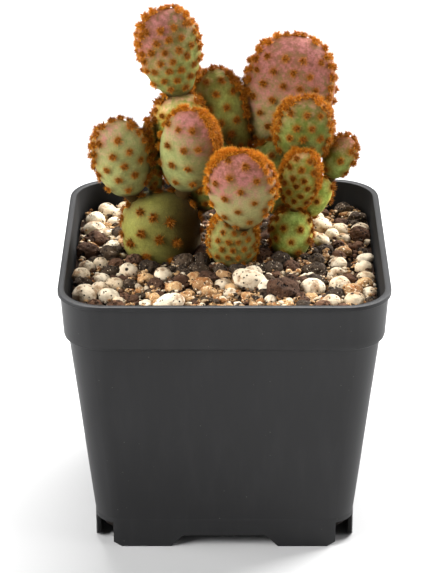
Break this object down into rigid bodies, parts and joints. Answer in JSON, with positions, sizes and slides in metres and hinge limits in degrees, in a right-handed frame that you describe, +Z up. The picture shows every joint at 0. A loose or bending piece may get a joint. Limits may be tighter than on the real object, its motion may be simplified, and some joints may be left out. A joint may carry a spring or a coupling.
{
  "type": "potted blind prickly pear",
  "caption": "Clump of flat oval cactus pads dotted with rust-orange bristle tufts, rooted in stony mix in a square black nursery pot that stands on feet.",
  "frame": {"origin": "centre of the square pot's underside, on the surface that its feet stand on", "axes": "+Z up, -Y toward the side the picture shows, +X to that side's right"},
  "size_m": [0.09, 0.09, 0.1422],
  "materials": {
    "pot_plastic": "black moulded polypropylene with a soft satin sheen and faint scuffs",
    "potting_mix": "dry porous pumice, lava and fired clay gravel",
    "pad_skin": "velvety green skin blushing mauve toward the tips, with rust-orange bristle tufts"
  },
  "bodies": {
    "root": {"pot": "pot_plastic", "potting_mix": "potting_mix", "pad_base_left": "pad_skin", "pad_base_front": "pad_skin", "pad_base_right": "pad_skin", "pad_left": "pad_skin", "pad_front_left": "pad_skin", "pad_back_left": "pad_skin", "pad_mid_left": "pad_skin", "pad_edge_left": "pad_skin", "pad_back_centre": "pad_skin", "pad_top_left": "pad_skin", "pad_lower_right": "pad_skin", "pad_far_right": "pad_skin", "pad_mid_right": "pad_skin", "pad_upper_right": "pad_skin", "pad_top_right": "pad_skin", "pad_small_right": "pad_skin", "pad_front": "pad_skin"}
  },
  "joints": []
}
